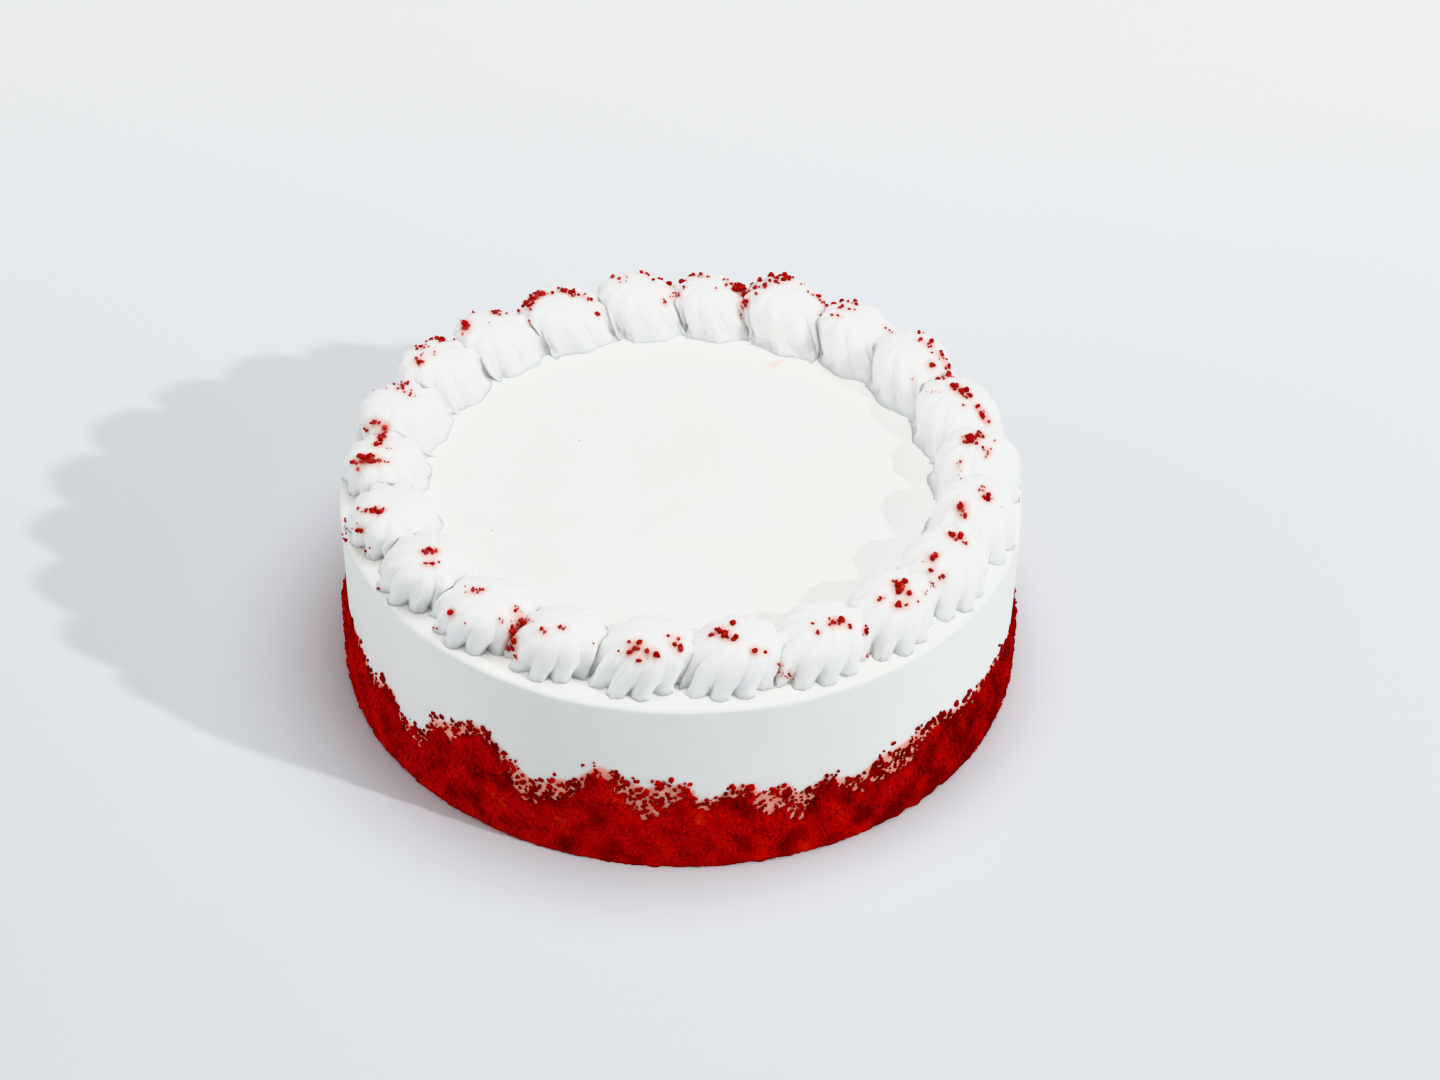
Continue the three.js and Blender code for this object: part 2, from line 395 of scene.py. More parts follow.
# %% [markdown]
# ## The piped rosettes
#
# Each rosette is one press of an open star tip: eleven rounded ridges rise from
# a round foot and close at a soft peak. The hand moves on round the ring while
# it presses, so all of them lean the same way along the ring, and each presses
# flat against the last. A sculpted copy would make 22 twins, so each one is
# worked out by the same function with its own size, turn and small faults. The
# drawn numbers match those of the solids, so every ridge lies over its solid
# ridge, and finer ridges from the teeth of the tip run along each one. Warm
# cream also sags: the inner foot melts onto the flat top, neighbours join in
# shallow creases, and only the outer foot keeps narrow notches.
#
# Random numbers usually come from a library. The solids have a small generator
# of their own, so it is repeated here, line for line, to draw the same sizes.


# %% Draw the same sizes as the solids
def seeded(seed):
    """The little random generator that the solids use."""
    state = seed

    def draw():
        nonlocal state
        state = (state + 0x6D2B79F5) & 0xFFFFFFFF
        t = ((state ^ (state >> 15)) * (state | 1)) & 0xFFFFFFFF
        t = ((t + ((t ^ (t >> 7)) * (t | 61))) ^ t) & 0xFFFFFFFF
        return (t ^ (t >> 14)) / 4294967296

    return draw


def spread(draw, amount):
    """A drawn number from minus to plus this amount."""
    return (draw() * 2 - 1) * amount


ring_draw = seeded(23)
PITCH = 360 / ROSETTE_COUNT
valleys = [FIRST_VALLEY + i * PITCH + spread(ring_draw, 0.5) for i in range(ROSETTE_COUNT)]
valleys.append(valleys[0] + 360)


def ring_radius(azimuth):
    """The ring of rosettes is a little wider from side to side."""
    return RING_RADIUS + RING_WIDENING * math.sin(math.radians(azimuth)) ** 2


def rosette_sizes(index):
    """Azimuth, half angle, reach, height and turn of one rosette, as in its solid."""
    half_angle = math.radians((valleys[index + 1] - valleys[index]) / 2)
    growth = half_angle / (math.pi / ROSETTE_COUNT)
    draw = seeded(ROSETTE_SEED + index)
    height = ROSETTE_HEIGHT * (1 + spread(draw, 0.11)) * min(growth, 1)
    turn = draw() * 3
    azimuth = (valleys[index] + valleys[index + 1]) / 2
    reach = ROSETTE_REACH * growth * ring_radius(azimuth) / RING_RADIUS
    return azimuth, half_angle, reach, height, turn


print("first rosette:", [round(float(size), 2) for size in rosette_sizes(0)])

# %% [markdown]
# ## The form of one rosette
#
# One function works out the points of a rosette as a grid: round the flutes and
# up the rise. It starts from the named profile, presses in the hollows between
# flutes, adds the marks of the teeth, and melts the inner foot. Then it presses
# the sides flat against the neighbours and leans the whole along the ring.

# %% Pipe one rosette
ROUND_FLUTE = 18
RISE_ROWS = 40
STREAK_DEPTH = 0.004


def profile_at(shares):
    """Reach and rise along the profile: a smooth curve through its named points."""
    knots = np.array([ROSETTE_PROFILE[0], *ROSETTE_PROFILE, (-0.53, 0.93)], float)
    places = shares * (len(ROSETTE_PROFILE) - 1)
    first = np.minimum(places.astype(int), len(ROSETTE_PROFILE) - 2)
    t = (places - first)[:, None]
    a, b, c, d = (knots[first + k] for k in range(4))
    curve = 2 * b + (c - a) * t + (2 * a - 5 * b + 4 * c - d) * t**2 + (3 * b - a - 3 * c + d) * t**3
    return curve / 2


def soft_limit(values, limits):
    """Presses values flat against plus and minus the limits, with a soft bend."""
    size = np.abs(values)
    bend = 0.98 * limits
    over = np.maximum(size - bend, 0)
    pressed = bend + (limits - bend) * np.tanh(over / (limits - bend))
    return np.sign(values) * np.where(size > bend, pressed, size)


def rosette_points(index):
    """The grid of points of one rosette, in metres, a row for each height."""
    azimuth, half_angle, reach, height, turn = rosette_sizes(index)
    ring = ring_radius(azimuth)
    draw = np.random.default_rng(500 + index)
    columns = FLUTES * ROUND_FLUTE
    angles = np.arange(columns) / columns * 2 * math.pi
    share, rise = profile_at(np.linspace(0, 1, RISE_ROWS) ** 0.9).T[:, :, None]
    share = np.maximum(share, 0)
    waver = 0.045 * np.sin(rise * draw.uniform(5, 9) + draw.uniform(0, 6) + 2 * angles)
    phase = ((angles + waver * rise) / (2 * math.pi) * FLUTES - turn / 3) % 1
    hollow = 1 - np.sin(math.pi * phase) ** 0.9
    outer = 0.5 + 0.5 * np.cos(angles)
    notch = np.exp(-((np.minimum(phase, 1 - phase) / 0.15) ** 2)) * np.exp(-((rise / 0.27) ** 2))
    teeth = 0.012 * np.cos(4 * math.pi * phase) * np.sin(math.pi * phase)
    streaks = 0 * angles
    for waves in draw.integers(20, 52, 6):
        streaks = streaks + STREAK_DEPTH * np.sin(waves * (angles + 0.5 * waver) + draw.uniform(0, 6))
    lobes = 1 + 0.03 * np.sin(angles * 3 + draw.uniform(0, 6)) * (1 - rise)
    melted = (0.05 + 0.15 * (1 - outer)) * np.clip(1 - rise / 0.2, 0, 1) ** 2
    hollows = FLUTE_DEPTH * ((0.5 + 0.3 * rise) * hollow + 1.6 * outer * notch)
    radius = reach * share * (1 - hollows + teeth + streaks + melted) * lobes * 0.99
    outward = radius * np.cos(angles)
    along = radius * (1 + RING_SPREAD * (1 - rise**3)) * np.sin(angles)
    limits = (ring + outward) * math.tan(half_angle)
    joined = np.clip((np.abs(along) / limits - 0.8) / 0.2, 0, 1) ** 2
    joined = joined * np.clip(rise / 0.4 + 1 - outer, 0, 1)
    outward = outward * (1 + 0.3 * joined)
    limits = (ring + outward) * math.tan(half_angle) + 0.1
    along = soft_limit(along, limits) + ROSETTE_LEAN * (height * rise - UPRIGHT_HEIGHT)
    lift = 0.35 * (1 - hollow) * share * (rise > 0.1) + 1.7 * joined * rise
    heights = BODY_HEIGHT - 0.3 + (height + CLEARANCE) * rise + lift - 0.2
    turned = math.radians(azimuth - 90)
    x = (ring + outward) * math.cos(turned) - along * math.sin(turned)
    y = (ring + outward) * math.sin(turned) + along * math.cos(turned)
    return np.stack([x, y, heights + 0 * x], -1) * MM


def pipe_rosette(index):
    """One rosette as a closed mesh: its grid, a point under its foot and one at its peak."""
    grid = rosette_points(index)
    peak = grid[-1].mean(0)
    foot = grid[0].mean(0)
    grid = grid[:-1]
    rows, columns = grid.shape[:2]
    faces = [list(face) for face in grid_faces(rows, columns)]
    faces += [[(j + 1) % columns, j, rows * columns] for j in range(columns)]
    top = (rows - 1) * columns
    faces += [[top + j, top + (j + 1) % columns, rows * columns + 1] for j in range(columns)]
    points = np.concatenate([grid.reshape(-1, 3), [foot, peak]])
    name = f"piped_rosette_{index + 1:02d}"
    piece = mesh_piece(name, points, faces, piped_cream)
    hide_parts(f"rosette_{index + 1:02d}")
    give_values(piece, "stain", np.zeros(len(points)))
    return piece


rosettes = [pipe_rosette(index) for index in range(ROSETTE_COUNT)]
print("rosettes:", len(rosettes), "of", len(rosettes[0].data.polygons), "faces")

# %% [markdown]
# ## The crumbs' colour
#
# Red velvet crumbs are deep red, and brighter where the sponge was cut. One flat
# red would look like plastic gravel. Each crumb carries a drawn tint, and noise
# finer than a crumb makes small pore hollows in its bump and paints them a darker
# red as painted shade. The side is packed with moist crumbs over a bed of the
# same finish. The ones dusted on the rosettes are half sunk in cream, so their
# reds are paler and duller.


# %% The crumb finish
def crumb_material(name, painted_pore_shade, stops):
    """A crumb finish: the darker red painted as shade into its pores, and the reds from its darkest tint to
    its brightest.
    """
    material, shader, start, places = start_material(name)
    tint = start.value_of("tint")
    pores_and_painted_shade = start.noise(places, 0.8, detail=3, roughness=0.6).between(0.25, 0.6)
    patches = start.noise(places, 9, detail=2).between(0.3, 0.7)
    sockets = {"Fac": tint * 0.75 + patches * 0.25}
    red = start.node("ShaderNodeValToRGB", {"stops": [(at, shade[:3]) for at, shade in stops]}, sockets)
    # Painted shade: the hollows of the pores take the darker pore colour.
    colour = pores_and_painted_shade.blend(painted_pore_shade, red)
    feed(shader, start, "Base Color", colour)
    feed(shader, start, "Roughness", 0.7 + 0.2 * pores_and_painted_shade)
    shader.inputs["Specular IOR Level"].default_value = 0.05
    rough = start.noise(places, 0.45, detail=3, roughness=0.7)
    sockets = {"Height": rough + pores_and_painted_shade, "Distance": 0.2 * MM, "Strength": 0.5}
    feed(shader, start, "Normal", start.node("ShaderNodeBump", None, sockets))
    return material


MOIST_REDS = [(0, rgb(104, 3, 2)), (0.4, rgb(192, 10, 7)), (0.7, rgb(216, 20, 12)), (1, rgb(236, 66, 48))]
DUSTED_REDS = [(0, rgb(148, 18, 20)), (0.4, rgb(198, 62, 60))]
DUSTED_REDS += [(0.7, rgb(222, 112, 104)), (1, rgb(238, 164, 152))]
# The first colour of each finish is the darker red painted as shade into its pores.
red_crumb = crumb_material("red_crumb", rgb(160, 8, 5), MOIST_REDS)
dusted_crumb = crumb_material("dusted_crumb", rgb(160, 30, 30), DUSTED_REDS)
print("made", red_crumb.name, "and", dusted_crumb.name)

# %% [markdown]
# ## The bed of crumbs on the side
#
# Thousands of crumbs cover the lower side several deep. Only the outer ones can
# be seen, so the rest are one lumpy bed: a closed ring whose outer face follows
# the crumb line and dives under the cream some way below it, so that loose
# crumbs alone make the ragged edge. That edge is uneven at two sizes, handfuls
# of 20 to 50 mm and clumps of 3 to 8 mm. In some stretches the loose fringe is
# far deeper and reads as lace, so those are named: azimuth and half width in
# degrees, and how many millimetres deeper than the rest.

# %% Make the bed
BED_COLUMNS = 900
BED_ROWS = 40
BED_DEPTH = 2.5
FRINGE_DEPTH = 3
handfuls = ripple(21, 10, 18, 50)
clumps = ripple(22, 40, 3, 8)
lumps = ripple(23, 40, 2.2, 9)
threads = ripple(25, 60, 2.6, 5.5)
shades = ripple(24, 24, 7, 22)
LACE = [
    (-160, 5, 5), (-120, 6, 7), (-47, 4, 3), (-38, 3, 4), (-25, 4, 7), (-18, 3, 5), (-4, 5, 10),
    (15, 3, 5), (20, 3, 9), (34, 4, 6), (41, 4, 8), (95, 5, 7), (140, 6, 6),
]  # fmt: skip


def ragged_line(azimuths):
    """The crumb line with the handfuls' unevenness."""
    return crumb_line(azimuths) + 0.8 * handfuls(azimuths, 0 * azimuths)


def lace_depth(azimuths):
    """How far below the crumb line the crumbs stay loose, before they close up."""
    wrapped = (azimuths + 180) % 360 - 180
    depth = FRINGE_DEPTH + 0 * wrapped
    for centre, half_width, extra in LACE:
        depth = depth + extra * np.exp(-(((wrapped - centre) / half_width) ** 2))
    return depth


def coat_depth(azimuths, heights):
    """How far the crumbs stand out from the cream, in millimetres."""
    below = ragged_line(azimuths) - lace_depth(azimuths) + 1.5 * clumps(azimuths, heights) - heights
    fade = np.clip(below / 2.2, -0.9, 1)
    foot = 0.5 * np.clip(1 - heights / 25, 0, 1)
    return fade * (CRUMB_COAT * 0.75 + foot + 0.3 * lumps(azimuths, heights))


azimuths = np.arange(BED_COLUMNS) * 360 / BED_COLUMNS
shares = np.linspace(0, 1, BED_ROWS)[:, None]
heights = shares * (ragged_line(azimuths) + 5)
outer = around(azimuths, CREAM_RADIUS + coat_depth(azimuths + 0 * heights, heights), heights)
inner = around(azimuths, CREAM_RADIUS - BED_DEPTH, heights[::-1][:: BED_ROWS - 1])
bed_points = np.concatenate([outer, inner])
bed_faces = grid_faces(len(bed_points), BED_COLUMNS, close_rows=True)
crumb_bed = mesh_piece("crumb_bed", bed_points, bed_faces, red_crumb)
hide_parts("cake")


def drift_and_painted_shade(azimuths, heights):
    """How the red drifts: patches of the handfuls, and painted shade that darkens the right-hand side."""
    # Painted shade: from azimuth 15 to 150 the red is painted darker.
    painted_right_shade = np.clip((azimuths - 15) / 35, 0, 1) * np.clip((150 - azimuths) / 40, 0, 1)
    return 0.32 * shades(azimuths, heights) - 0.4 * painted_right_shade


wrapped = (azimuths + 0 * heights + 180) % 360 - 180
# The bed's tint takes the handfuls' patches and the painted shade on the right.
bed_tint = 0.4 + drift_and_painted_shade(wrapped, heights)
give_values(crumb_bed, "tint", np.concatenate([bed_tint.ravel(), np.full(2 * BED_COLUMNS, 0.3)]))
print("crumb bed:", len(crumb_bed.data.polygons), "faces")

# %% [markdown]
# ## Stained cream
#
# Moist crumbs give off red juice, so the cream between and just above them is
# pink. The strength of the stain is stored as a number on each point of the
# body, and the cream's material reads it. The flat top has one faint pink smear
# near the back, where a crumb was dragged.

# %% Store the stains
SMEAR_AT = (28.4, 62.8)
SMEAR_HALF_SIZE = (5.8, 2.2)
SMEAR_HEADING = math.radians(38)
SMEAR_STRENGTH = 0.24


def stains(points):
    """How pink each point of the body is."""
    x, y, z = (points / MM).T
    azimuths = np.degrees(np.arctan2(x, -y))
    above = z - ragged_line(azimuths)
    on_side = np.hypot(x, y) > CREAM_RADIUS - 1
    near_crumbs = np.where(on_side, np.clip(0.6 - above / 1.3, 0, 1), 0)
    right, back = x - SMEAR_AT[0], y - SMEAR_AT[1]
    along = (right * math.cos(SMEAR_HEADING) + back * math.sin(SMEAR_HEADING)) / SMEAR_HALF_SIZE[0]
    across = (back * math.cos(SMEAR_HEADING) - right * math.sin(SMEAR_HEADING)) / SMEAR_HALF_SIZE[1]
    on_top = z > BODY_HEIGHT - 1
    smear = np.where(on_top, np.clip(1 - across**2 - along**2, 0, 1) * SMEAR_STRENGTH, 0)
    return np.maximum(near_crumbs, smear)


give_values(cream_body, "stain", stains(body_points_all))
print("pink points:", int((stains(body_points_all) > 0.2).sum()))

# %% [markdown]
# ## Loose crumbs
#
# A crumb is a rough lump of sponge, from under 1 mm to about 3 mm. Particles
# would scatter them, but a shared part needs real mesh, so one function turns
# lists of places and sizes into a single joined mesh. Each crumb starts as a
# twenty-sided lump, has its corners pushed in or out, is squashed a little and
# turned, all by array sums, so several thousand take well under a second.


# %% Make many crumbs at once
def icosahedron():
    """The twelve corners and twenty faces of a regular lump of radius 1."""
    golden = (1 + math.sqrt(5)) / 2
    corners = [(-1, golden, 0), (1, golden, 0), (-1, -golden, 0), (1, -golden, 0)]
    corners += [(0, -1, golden), (0, 1, golden), (0, -1, -golden), (0, 1, -golden)]
    corners += [(golden, 0, -1), (golden, 0, 1), (-golden, 0, -1), (-golden, 0, 1)]
    faces = [(0, 11, 5), (0, 5, 1), (0, 1, 7), (0, 7, 10), (0, 10, 11), (1, 5, 9), (5, 11, 4)]
    faces += [(11, 10, 2), (10, 7, 6), (7, 1, 8), (3, 9, 4), (3, 4, 2), (3, 2, 6), (3, 6, 8)]
    faces += [(3, 8, 9), (4, 9, 5), (2, 4, 11), (6, 2, 10), (8, 6, 7), (9, 8, 1)]
    corners = np.array(corners, float)
    return corners / np.linalg.norm(corners[0]), np.array(faces)


def random_turns(draw, count):
    """A rotation matrix for each crumb, from random quaternions."""
    q = draw.normal(size=(count, 4))
    w, x, y, z = (q / np.linalg.norm(q, axis=1, keepdims=True)).T
    rows = [1 - 2 * (y * y + z * z), 2 * (x * y - z * w), 2 * (x * z + y * w)]
    rows += [2 * (x * y + z * w), 1 - 2 * (x * x + z * z), 2 * (y * z - x * w)]
    rows += [2 * (x * z - y * w), 2 * (y * z + x * w), 1 - 2 * (x * x + y * y)]
    return np.stack(rows, -1).reshape(count, 3, 3)


def crumb_mesh(name, places, sizes, tints, material, seed):
    """One joined mesh of crumbs: places in metres, sizes in millimetres."""
    draw = np.random.default_rng(seed)
    corners, faces = icosahedron()
    count = len(places)
    shapes = corners * draw.uniform(0.72, 1.22, (count, 12, 1))
    shapes = shapes * draw.uniform(0.65, 1.15, (count, 1, 3))
    shapes = np.einsum("nij,nkj->nki", random_turns(draw, count), shapes)
    points = shapes * (np.asarray(sizes)[:, None, None] * MM / 2) + places[:, None, :]
    all_faces = (faces[None] + 12 * np.arange(count)[:, None, None]).reshape(-1, 3)
    piece = mesh_piece(name, points, all_faces, material)
    give_values(piece, "tint", np.repeat(np.clip(tints, 0, 1), 12))
    return piece


print("a crumb has", len(icosahedron()[1]), "faces")

# %% [markdown]
# ## Crumbs pressed onto the side
#
# The crumbs lie close together below the crumb line and thin out across it, in
# clumps and chains that let the stained cream show between them. Places are
# drawn evenly over the side and kept by a chance. That chance is high along the
# zero lines of a fine ripple, which join up like threads, and low in its holes.
# It falls to almost nothing above the line, and the clumps push it up and down.
# The crumbs of the fringe are a little smaller and darker, and sit deeper in the
# cream than those on the bed.

# %% Scatter the side crumbs
MOST_SIDE_CRUMBS = 9900
SIDE_DRAWS = 41000
CHANCE_ON_BED = 0.22
CHANCE_OF_STRAYS = 0.02
draw = np.random.default_rng(77)
azimuths = draw.uniform(-180, 180, SIDE_DRAWS)
heights = draw.uniform(0.4, 44, SIDE_DRAWS)
above = heights - ragged_line(azimuths)
net = np.clip(1.85 - 2.5 * np.abs(threads(azimuths, heights)), 0.05, 1)
edge = np.clip(0.75 - (above - 2.4 * clumps(azimuths, heights)) / 1.8, 0, 1)
chance = np.where(above < -lace_depth(azimuths), CHANCE_ON_BED, edge * net)
chance = chance + CHANCE_OF_STRAYS * np.exp(-np.maximum(above, 0) / 1.2)
kept = np.flatnonzero(draw.random(SIDE_DRAWS) < chance)[:MOST_SIDE_CRUMBS]
azimuths, heights, above = azimuths[kept], heights[kept], above[kept]
loose = above > -lace_depth(azimuths)
sizes = np.clip(draw.lognormal(math.log(1.5), 0.3, len(kept)), 0.7, 2.9)
sizes = np.where(loose, sizes * 0.82, sizes)
heights = np.maximum(heights, sizes * 0.68)
seat = np.where(loose, -0.02, 0.12) * sizes
radii = CREAM_RADIUS + np.maximum(coat_depth(azimuths, heights), 0) + seat
reach_limit = float(min(CAD_HIGH.x, CAD_HIGH.y, -CAD_LOW.x, -CAD_LOW.y)) / MM
radii = np.minimum(radii, reach_limit - 0.62 * sizes)
# Each crumb's tint takes the handfuls' patches and the painted shade on the right.
tints = 0.42 + 0.08 * draw.normal(size=len(kept)) + drift_and_painted_shade(azimuths, heights) - 0.24 * loose
side_crumbs = crumb_mesh("side_crumbs", around(azimuths, radii, heights), sizes, tints, red_crumb, 78)
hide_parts("cake")
print("side crumbs:", len(kept), "of", round(float(sizes.mean()), 2), "mm on average")

# %% [markdown]
# ## The camera
#
# The camera stands where the photographer stood, which comes from the ellipses
# of the cake's rim and foot. It is made before the last crumbs, because those
# are placed by looking along its rays. The picture is taken as 1440 by 1080. The
# camera's distance and what it looks at are counted in radii of the cake's foot.

# %% Place the camera
FRAME_WIDTH, FRAME_HEIGHT = 1440, 1080
FOCAL_PIXELS = 2955
ELEVATION = math.radians(39.2)
FOOT_RADIUS = 0.104
DISTANCE = 9.345 * FOOT_RADIUS
ROLL = math.radians(1.53)
LOOK_AT = Vector((0.115 * FOOT_RADIUS, 0.435 * FOOT_RADIUS, 0))

camera_data = bpy.data.cameras.new("camera")
camera_data.sensor_width = 36
camera_data.lens = FOCAL_PIXELS / FRAME_WIDTH * camera_data.sensor_width
camera = bpy.data.objects.new("camera", camera_data)
bpy.context.scene.collection.objects.link(camera)
bpy.context.scene.camera = camera
back = Vector((0, -math.cos(ELEVATION), math.sin(ELEVATION)))
turn = (-back).to_track_quat("-Z", "Y").to_matrix().to_4x4()
camera.matrix_world = Matrix.Translation(LOOK_AT + back * DISTANCE) @ turn @ Matrix.Rotation(ROLL, 4, "Z")
camera_data.clip_start, camera_data.clip_end = 0.05, 50
print("camera at", [round(value, 3) for value in camera.matrix_world.translation])

# %% [markdown]
# ## Crumbs dusted on top
#
# The crumbs on the rosettes fell in small heaps, mostly on the crests. They could
# be scattered evenly, but then none would lie where the eye expects it. So each
# heap is named by where it shows in the picture and its spread there, across and
# down in pixels, then how many crumbs it has and their size in millimetres. A
# ray from the camera finds the cream under each crumb, so it rests on the
# surface seen from any side. Around the back, where no picture shows them, heaps
# of the same kind are drawn at random.

# %% Name the heaps that show
HEAPS = [
    (852, 299, 8, 5, 26, 1.9), (844, 309, 8, 3, 6, 1.3), (836, 316, 5, 1, 3, 1.3), (820, 316, 1, 1, 1, 1.5),
    (822, 301, 2, 3, 2, 1.0),
    (589, 300, 2, 2, 5, 1.7), (580, 295, 6, 1, 5, 1.1), (567, 292, 4, 1, 3, 0.9), (596, 315, 1, 1, 1, 1.5),
    (597, 280, 1, 3, 2, 1.2), (614, 277, 2, 3, 3, 1.0), (626, 277, 2, 4, 3, 1.0), (620, 282, 3, 1, 1, 0.9),
    (675, 295, 8, 3, 9, 1.2), (683, 287, 3, 2, 2, 1.1), (665, 303, 3, 3, 4, 1.1),
    (698, 277, 4, 1, 3, 1.1), (709, 277, 2, 1, 2, 1.2), (716, 288, 1, 2, 2, 1.2),
    (745, 301, 4, 5, 10, 1.3), (741, 314, 2, 5, 3, 0.7), (762, 287, 4, 2, 4, 1.3), (771, 281, 3, 1, 2, 1.2),
    (778, 278, 3, 1, 3, 1.4), (787, 281, 3, 1, 2, 1.1), (801, 284, 3, 1, 3, 1.2),
    (465, 326, 4, 7, 18, 1.6), (470, 312, 4, 2, 3, 1.1), (489, 323, 1, 1, 1, 1.0), (499, 311, 2, 1, 3, 1.2),
    (506, 314, 1, 1, 1, 0.9), (530, 321, 1, 2, 2, 1.4), (538, 298, 3, 1, 2, 0.7), (549, 294, 2, 1, 2, 0.7),
    (424, 349, 7, 5, 14, 1.3), (420, 361, 6, 4, 8, 1.3), (439, 338, 3, 1, 3, 1.1),
    (400, 386, 9, 4, 14, 1.3), (412, 394, 7, 3, 5, 1.4), (378, 388, 8, 3, 4, 0.9),
    (365, 429, 2, 3, 5, 1.2), (373, 423, 6, 1, 8, 1.2), (385, 427, 3, 3, 6, 1.4), (381, 437, 4, 4, 18, 1.9),
    (377, 444, 4, 2, 8, 1.4), (388, 449, 4, 1, 3, 0.8), (344, 445, 3, 1, 1, 1.0),
    (355, 463, 3, 2, 5, 1.5), (367, 458, 7, 3, 18, 1.8), (376, 462, 6, 2, 8, 1.5), (388, 462, 3, 1, 3, 0.8),
    (358, 469, 2, 1, 2, 1.3),
    (374, 511, 9, 2, 16, 1.5), (356, 528, 9, 5, 7, 1.2), (368, 549, 6, 2, 3, 1.0),
    (428, 551, 8, 2, 15, 1.8), (431, 563, 6, 1, 8, 1.5), (380, 589, 1, 1, 1, 2.2),
    (478, 590, 5, 2, 7, 1.4), (466, 590, 2, 3, 2, 1.0), (450, 613, 1, 1, 4, 1.9), (465, 623, 1, 2, 1, 1.1),
    (436, 627, 2, 2, 2, 1.0),
    (517, 610, 5, 3, 7, 1.2), (524, 621, 6, 3, 14, 1.6), (513, 632, 3, 8, 18, 1.4), (512, 648, 3, 6, 14, 1.3),
    (516, 657, 3, 2, 6, 1.3), (501, 620, 4, 2, 4, 1.0),
    (543, 631, 4, 3, 5, 1.2), (561, 629, 4, 3, 5, 1.1), (593, 643, 1, 1, 1, 1.6),
    (618, 651, 1, 1, 1, 1.1), (629, 642, 1, 1, 3, 1.6), (640, 643, 1, 1, 3, 1.7), (630, 653, 1, 1, 3, 1.7),
    (637, 649, 2, 1, 4, 1.7), (647, 651, 1, 1, 3, 1.7), (656, 656, 1, 1, 3, 2.1), (639, 661, 2, 1, 3, 1.8),
    (668, 636, 1, 1, 2, 1.7), (678, 639, 1, 1, 2, 2.0), (675, 645, 1, 1, 2, 1.9), (679, 650, 1, 2, 3, 2.2),
    (720, 631, 5, 2, 8, 1.9), (726, 634, 4, 3, 8, 2.0), (732, 639, 2, 1, 3, 2.2), (733, 624, 0, 0, 1, 1.6),
    (713, 635, 2, 1, 2, 1.4), (755, 651, 1, 1, 3, 1.6), (765, 652, 1, 1, 3, 1.6),
    (781, 671, 3, 6, 7, 1.3), (788, 676, 5, 3, 5, 1.3),
    (812, 624, 3, 1, 2, 1.0), (818, 632, 2, 2, 3, 1.8), (833, 624, 5, 4, 10, 1.5), (841, 621, 3, 3, 5, 1.3),
    (849, 626, 3, 3, 3, 1.2), (865, 629, 4, 5, 7, 1.3), (868, 657, 2, 1, 3, 1.4), (881, 658, 2, 1, 1, 1.0),
    (896, 582, 3, 2, 6, 1.6), (902, 588, 4, 4, 11, 2.0), (908, 594, 3, 2, 5, 1.6), (881, 599, 4, 2, 5, 1.3),
    (901, 605, 5, 2, 9, 1.7), (918, 602, 1, 1, 2, 1.2), (925, 593, 2, 2, 4, 1.2), (932, 585, 2, 3, 6, 1.3),
    (940, 577, 2, 3, 4, 1.2), (934, 557, 2, 2, 6, 1.9), (931, 570, 1, 2, 3, 1.4), (922, 561, 2, 1, 2, 0.9),
    (951, 534, 3, 2, 6, 1.6), (958, 538, 4, 2, 8, 1.8), (965, 543, 2, 1, 4, 1.4),
    (962, 508, 2, 4, 9, 1.8), (964, 517, 2, 2, 4, 1.3), (1001, 508, 1, 1, 1, 1.2),
    (983, 489, 3, 3, 5, 1.3), (987, 498, 3, 4, 8, 1.6), (960, 470, 4, 8, 7, 0.8),
    (972, 439, 7, 4, 24, 1.9), (979, 434, 3, 2, 6, 1.5), (987, 452, 3, 5, 8, 1.2), (994, 442, 1, 1, 1, 1.0),
    (978, 406, 2, 2, 4, 1.5), (983, 414, 2, 4, 10, 1.6), (988, 422, 2, 2, 5, 1.3), (965, 405, 1, 1, 2, 1.2),
    (955, 387, 3, 2, 9, 1.8), (962, 391, 4, 3, 10, 1.9), (969, 395, 3, 2, 6, 1.6),
    (933, 365, 2, 1, 4, 2.0), (944, 357, 6, 3, 7, 1.0), (949, 369, 4, 3, 7, 1.3), (940, 378, 6, 3, 5, 0.8),
    (931, 392, 9, 2, 5, 0.8), (919, 340, 1, 1, 2, 1.2), (931, 343, 1, 1, 3, 1.4), (895, 321, 2, 1, 2, 1.1),
    (913, 379, 1, 1, 1, 1.4),
    (346, 520, 2, 4, 4, 1.2), (345, 536, 2, 4, 4, 1.1),
    (580, 441, 1, 1, 1, 0.6), (492, 532, 2, 1, 1, 0.6),
]  # fmt: skip
print("heaps:", len(HEAPS), "with", sum(heap[4] for heap in HEAPS), "crumbs")

# %% Let the crumbs fall
SEAT_OF_TOP_CRUMB = 0.22


def joined_tree(pieces):
    """A search tree over several pieces, to find where a ray meets them."""
    corners, polygons, offset = [], [], 0
    for piece in pieces:
        corners += [vertex.co[:] for vertex in piece.data.vertices]
        polygons += [[offset + i for i in face.vertices] for face in piece.data.polygons]
        offset = len(corners)
    return BVHTree.FromPolygons(corners, polygons)


cream = joined_tree([*rosettes, cream_body])
eye = camera.matrix_world.translation


def sight_line(px, py):
    """The direction from the camera through a pixel of the picture."""
    local = Vector(((px - FRAME_WIDTH / 2) / FOCAL_PIXELS, (FRAME_HEIGHT / 2 - py) / FOCAL_PIXELS, -1))
    return (camera.matrix_world.to_3x3() @ local).normalized()


